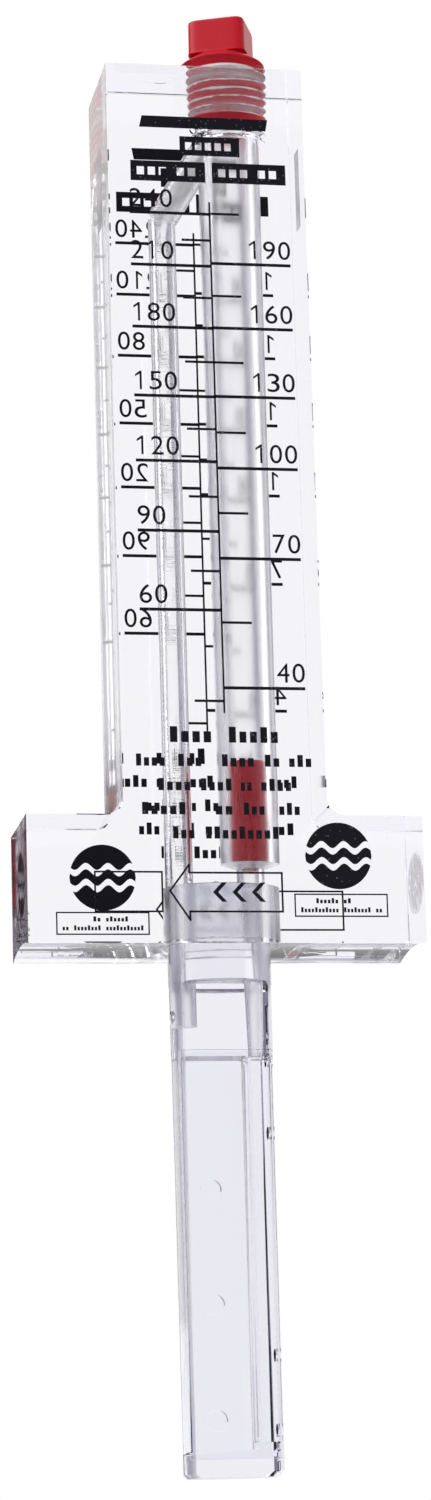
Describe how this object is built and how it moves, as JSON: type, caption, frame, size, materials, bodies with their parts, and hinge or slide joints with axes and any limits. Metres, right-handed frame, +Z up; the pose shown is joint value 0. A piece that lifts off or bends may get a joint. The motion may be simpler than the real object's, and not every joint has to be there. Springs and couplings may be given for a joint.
{
  "type": "insertion flow meter",
  "caption": "Clear block meter for a pipe: T-shaped body on a pipe saddle, tapered sight bore with a red float, screwed plug on top and a flat-sided pitot stem below.",
  "frame": {"origin": "on the stem's axis where the round neck leaves the block, level with the crown of the pipe saddle", "axes": "+Z up the sight bore, X along the pipe with the impact holes facing +X, -Y towards the reader of the scale"},
  "size_m": [0.0616, 0.0196, 0.2326],
  "materials": {
    "clear_block": "clear polished acrylic",
    "clear_moulding": "clear moulded plastic",
    "red_float": "satin",
    "red_plug": "satin moulded",
    "white_tape": "soft film"
  },
  "bodies": {
    "meter": {"meter_body": "clear_block", "pitot_stem": "clear_moulding", "stem_cover": "clear_moulding"},
    "float": {"float": "red_float"},
    "tape": {"thread_tape": "white_tape"},
    "plug": {"top_plug": "red_plug"}
  },
  "joints": [
    {"name": "float_rise", "type": "slide", "parent": "meter", "child": "float", "axis": [0, 0, 1], "range_m": [0, 0.1042]},
    {"name": "plug_lift", "type": "slide", "parent": "meter", "child": "tape", "axis": [0, 0, 1], "range_m": [0, 0.00847]},
    {"name": "plug_turn", "type": "hinge", "parent": "tape", "child": "plug", "pos_m": [0.0047, 0, 0.1411], "axis": [0, 0, 1], "range_deg": [0, 2160]}
  ],
  "couplings": [
    {"joint": "plug_turn", "follows": "plug_lift", "rad_per_m": 4452.9}
  ]
}
